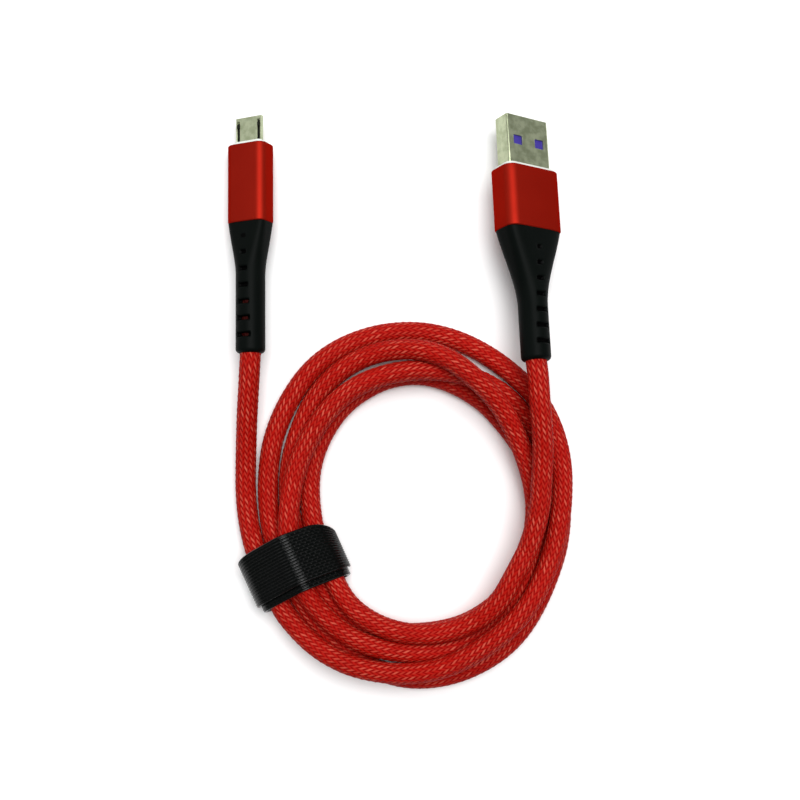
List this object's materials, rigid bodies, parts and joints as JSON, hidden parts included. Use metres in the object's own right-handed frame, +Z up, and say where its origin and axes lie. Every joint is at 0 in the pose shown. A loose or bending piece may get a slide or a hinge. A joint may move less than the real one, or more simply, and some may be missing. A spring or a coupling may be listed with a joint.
{
  "type": "charging cable",
  "caption": "Thick red braided USB-A to micro-USB charging cable, coiled and held by a black hook-and-loop strap, with red metal housings and black notched boots.",
  "frame": {"origin": "middle of the coil, on the surface that the cable lies on", "axes": "+Z up from the surface; +Y from the coil towards the two plugs; +X from the micro-USB side to the USB-A side"},
  "size_m": [0.0811, 0.1321, 0.0181],
  "materials": {
    "cable_braid": "tight red braid with lighter flecks under a slightly glossy skin",
    "boot_rubber": "black flexible PVC, satin",
    "red_metal": "red anodised, fine satin",
    "white_plastic": "moulded polyethylene",
    "nickel": "nickel-plated sheet steel, satin",
    "purple_plastic": "moulded insulator",
    "black_plastic": "moulded insulator",
    "gold": "gold-plated contacts",
    "solder": "bright tin solder",
    "crimp_metal": "tinned steel band",
    "wire_red": "PVC wire insulation",
    "wire_white": "PVC wire insulation",
    "wire_green": "PVC wire insulation",
    "wire_black": "PVC wire insulation",
    "strap_weave": "black ribbed nylon loop side",
    "strap_hooks": "black nylon hook side"
  },
  "bodies": {
    "cable": {"cable_coil": "cable_braid", "cable_lead_usb_a": "cable_braid", "cable_lead_micro": "cable_braid", "strap_band": "strap_weave"},
    "strap_tail": {"strap_tail": "strap_hooks"},
    "usb_a_plug": {"usb_a_cable_end": "cable_braid", "usb_a_boot": "boot_rubber", "usb_a_housing": "red_metal", "usb_a_inner_mould": "white_plastic", "usb_a_shell": "nickel", "usb_a_contacts": "gold", "usb_a_solder_joints": "solder", "usb_a_crimp": "crimp_metal", "usb_a_wire_red": "wire_red", "usb_a_wire_white": "wire_white", "usb_a_wire_green": "wire_green", "usb_a_wire_black": "wire_black", "usb_a_tongue": "purple_plastic"},
    "micro_plug": {"micro_cable_end": "cable_braid", "micro_boot": "boot_rubber", "micro_housing": "red_metal", "micro_inner_mould": "white_plastic", "micro_shell": "nickel", "micro_contacts": "gold", "micro_solder_joints": "solder", "micro_crimp": "crimp_metal", "micro_wire_red": "wire_red", "micro_wire_white": "wire_white", "micro_wire_green": "wire_green", "micro_wire_black": "wire_black", "micro_insulator": "black_plastic"},
    "micro_latch_left": {"micro_latch_left": "nickel"},
    "micro_latch_right": {"micro_latch_right": "nickel"}
  },
  "joints": [
    {"name": "usb_a_boot_bend", "type": "hinge", "parent": "cable", "child": "usb_a_plug", "pos_m": [0.02649, 0.0451, 0.01273], "axis": [0, 0, 1], "range_deg": [-25, 25], "stiffness_Nm_per_rad": 0.02, "deforming": ["usb_a_boot", "usb_a_cable_end"]},
    {"name": "micro_boot_bend", "type": "hinge", "parent": "cable", "child": "micro_plug", "pos_m": [-0.03793, 0.04726, 0.0076], "axis": [0, 0, 1], "range_deg": [-25, 25], "stiffness_Nm_per_rad": 0.02, "deforming": ["micro_boot", "micro_cable_end"]},
    {"name": "micro_latch_left_press", "type": "hinge", "parent": "micro_plug", "child": "micro_latch_left", "pos_m": [-0.04096, 0.08235, 0.00397], "axis": [-0.9059, -0.0434, -0.4213], "range_deg": [0, 4], "stiffness_Nm_per_rad": 0.005},
    {"name": "micro_latch_right_press", "type": "hinge", "parent": "micro_plug", "child": "micro_latch_right", "pos_m": [-0.03598, 0.08259, 0.00629], "axis": [-0.9059, -0.0434, -0.4213], "range_deg": [0, 4], "stiffness_Nm_per_rad": 0.005},
    {"name": "strap_tail_peel", "type": "hinge", "parent": "cable", "child": "strap_tail", "pos_m": [-0.03512, -0.01663, 0.01235], "axis": [0.4115, -0.9114, 0], "range_deg": [0, 100]}
  ]
}
